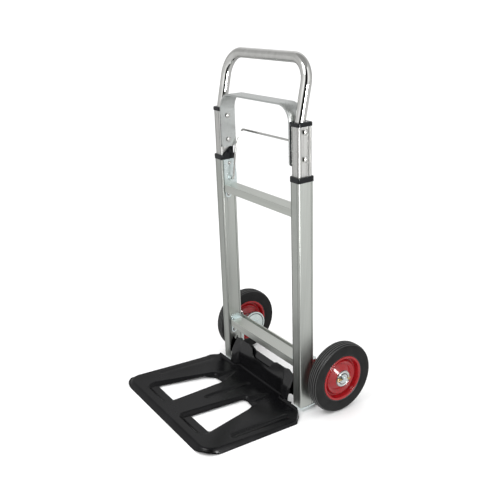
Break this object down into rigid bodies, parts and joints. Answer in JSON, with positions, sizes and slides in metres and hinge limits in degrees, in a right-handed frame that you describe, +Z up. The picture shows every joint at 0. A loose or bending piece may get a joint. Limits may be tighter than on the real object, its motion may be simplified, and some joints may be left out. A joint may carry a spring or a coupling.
{
  "type": "folding hand truck",
  "caption": "Folding aluminium hand truck with a telescopic chrome handle, flat grip arch, wire release bail, hinged black toe plate and red-centred wheels that swing in behind the frame.",
  "frame": {"origin": "centre of the footprint on the floor, truck standing unfolded with its handle down", "axes": "+X across the truck toward its right-hand wheel as seen from the toe plate, -Y toward the front edge of the toe plate, +Y toward the wheels, +Z up"},
  "size_m": [0.42, 0.445, 0.794],
  "materials": {
    "frame_aluminium": "satin anodised",
    "tube_aluminium": "satin, drawn lengthwise",
    "strap_aluminium": "satin, rolled",
    "black_plastic": "moulded, slight sheen",
    "zinc_plated_steel": "bright zinc plating, faintly blue",
    "bright_steel": "polished",
    "chrome_tube": "mirror chrome",
    "black_paint": "satin black powder coat",
    "red_paint": "gloss red enamel",
    "tyre_rubber": "dull rubber",
    "brass_plating": "yellow passivated"
  },
  "bodies": {
    "frame": {"stile_left": "frame_aluminium", "stile_right": "frame_aluminium", "collar_left": "black_plastic", "collar_right": "black_plastic", "lock_plate_left": "zinc_plated_steel", "lock_plate_right": "zinc_plated_steel", "gusset_left": "zinc_plated_steel", "gusset_right": "zinc_plated_steel", "crossbar_upper": "frame_aluminium", "crossbar_lower": "frame_aluminium", "liner_rivets": "bright_steel", "pivot_ear_left": "zinc_plated_steel", "pivot_ear_right": "zinc_plated_steel", "foot_plate_left": "zinc_plated_steel", "foot_plate_right": "zinc_plated_steel", "pivot_pin_left": "zinc_plated_steel", "pivot_pin_right": "zinc_plated_steel", "pivot_cap_left": "black_plastic", "pivot_cap_right": "black_plastic", "rear_rail": "frame_aluminium", "toe_pin": "zinc_plated_steel"},
    "handle": {"tube_left": "tube_aluminium", "tube_right": "tube_aluminium", "tube_cap_left": "black_plastic", "tube_cap_right": "black_plastic", "spacer_left": "black_plastic", "spacer_right": "black_plastic", "grip_arch": "strap_aluminium", "handle_hoop": "chrome_tube", "handle_bolts": "bright_steel"},
    "bail": {"release_bail": "bright_steel"},
    "lock_left": {"lock_pin_left": "zinc_plated_steel"},
    "lock_right": {"lock_pin_right": "zinc_plated_steel"},
    "toe": {"toe_plate": "black_paint", "toe_upstand": "black_paint"},
    "arm_left": {"arm_left": "zinc_plated_steel", "axle_left": "zinc_plated_steel", "cotter_left": "brass_plating", "axle_washer_left": "zinc_plated_steel"},
    "arm_right": {"arm_right": "zinc_plated_steel", "axle_right": "zinc_plated_steel", "cotter_right": "brass_plating", "axle_washer_right": "zinc_plated_steel"},
    "wheel_left": {"hub_left": "zinc_plated_steel", "rim_left": "red_paint", "tyre_left": "tyre_rubber"},
    "wheel_right": {"hub_right": "zinc_plated_steel", "rim_right": "red_paint", "tyre_right": "tyre_rubber"}
  },
  "joints": [
    {"name": "handle_slide", "type": "slide", "parent": "frame", "child": "handle", "axis": [0, -0.0673, 0.9977], "range_m": [0, 0.28]},
    {"name": "bail_swing", "type": "hinge", "parent": "frame", "child": "bail", "pos_m": [0, 0.0454, 0.49365], "axis": [-1, 0, 0], "range_deg": [0, 15], "stiffness_Nm_per_rad": 2, "springref_deg": -5.73},
    {"name": "lock_left_slide", "type": "slide", "parent": "frame", "child": "lock_left", "axis": [1, 0, 0], "range_m": [0, 0.006]},
    {"name": "lock_right_slide", "type": "slide", "parent": "frame", "child": "lock_right", "axis": [-1, 0, 0], "range_m": [0, 0.006]},
    {"name": "toe_fold", "type": "hinge", "parent": "frame", "child": "toe", "pos_m": [0, 0.06497, 0.036], "axis": [-1, 0, 0], "range_deg": [0, 86]},
    {"name": "arm_left_fold", "type": "hinge", "parent": "frame", "child": "arm_left", "pos_m": [-0.147, 0.09683, 0.07316], "axis": [0, 0.0673, -0.9977], "range_deg": [0, 90]},
    {"name": "arm_right_fold", "type": "hinge", "parent": "frame", "child": "arm_right", "pos_m": [0.147, 0.09683, 0.07316], "axis": [0, -0.0673, 0.9977], "range_deg": [0, 90]},
    {"name": "wheel_left_spin", "type": "hinge", "parent": "arm_left", "child": "wheel_left", "pos_m": [-0.1884, 0.13903, 0.0835], "axis": [-1, 0, 0], "continuous": true},
    {"name": "wheel_right_spin", "type": "hinge", "parent": "arm_right", "child": "wheel_right", "pos_m": [0.1884, 0.13903, 0.0835], "axis": [-1, 0, 0], "continuous": true}
  ],
  "couplings": [
    {"joint": "lock_left_slide", "follows": "bail_swing", "m_per_rad": 0.0229},
    {"joint": "lock_right_slide", "follows": "bail_swing", "m_per_rad": 0.0229},
    {"joint": "arm_left_fold", "follows": "toe_fold", "ratio": 1.046},
    {"joint": "arm_right_fold", "follows": "toe_fold", "ratio": 1.046}
  ]
}
